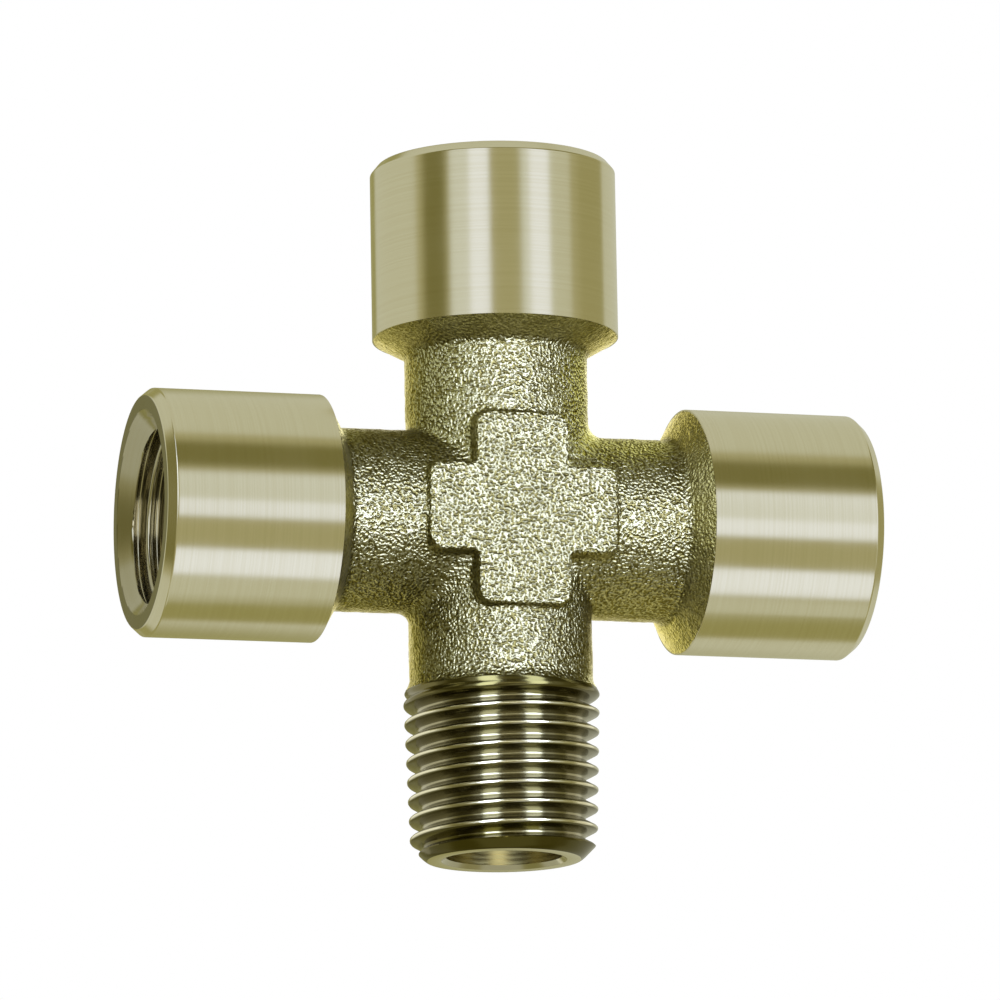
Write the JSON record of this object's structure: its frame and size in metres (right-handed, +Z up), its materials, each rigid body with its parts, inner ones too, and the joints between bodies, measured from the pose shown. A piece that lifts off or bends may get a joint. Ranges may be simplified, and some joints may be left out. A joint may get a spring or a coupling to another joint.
{
  "type": "cross pipe fitting",
  "caption": "Cross-shaped metal pipe fitting: female threaded sockets on top and at both sides, a male taper thread below, and a raised cross-shaped pad on the forged body.",
  "frame": {"origin": "centre of the male thread's flat end face, on the common axis of the male thread and the top socket", "axes": "+Z up out of the top socket, +X out of the right socket, -Y the front with a cross-shaped pad"},
  "size_m": [0.0506, 0.017, 0.0486],
  "materials": {
    "forged_nickel": "nickel plate over a shot-blasted forging, grainy, warm champagne grey",
    "turned_nickel": "nickel plate over turned brass, satin bright with fine turning lines, warm champagne grey"
  },
  "bodies": {
    "root": {"forged_body": "forged_nickel", "top_socket": "turned_nickel", "left_socket": "turned_nickel", "right_socket": "turned_nickel", "male_spigot": "turned_nickel"}
  },
  "joints": []
}
